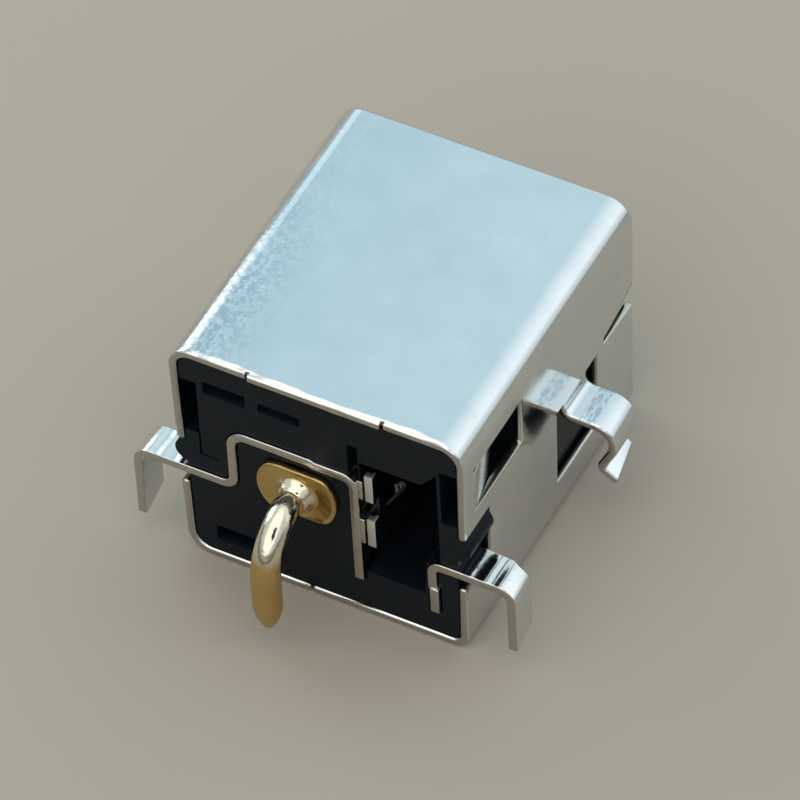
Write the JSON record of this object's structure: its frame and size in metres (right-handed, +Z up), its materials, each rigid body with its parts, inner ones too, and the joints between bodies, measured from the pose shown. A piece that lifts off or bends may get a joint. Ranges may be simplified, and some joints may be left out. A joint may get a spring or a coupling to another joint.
{
  "type": "dc barrel jack",
  "caption": "Board-mount barrel power socket: folded metal shell round a black moulded body, with a gold centre pin, curved solder tail, bent side terminals and snap-in board legs.",
  "frame": {"origin": "middle of the shell's underside, at half its width and half its length", "axes": "+Y along the centre pin from the solder side to the plug mouth, +Z up from the underside, +X to the right when looking along +Y"},
  "size_m": [0.0122, 0.0126, 0.0082],
  "materials": {
    "shell": "tin-plated, bright",
    "housing": "satin",
    "centre_pin": "gold-plated, bright",
    "contacts": "tin-plated, bright"
  },
  "bodies": {
    "root": {"shell": "shell", "housing": "housing", "centre_pin": "centre_pin", "sleeve_contact": "contacts", "contact_spring": "contacts", "switch_terminal": "contacts"}
  },
  "joints": []
}
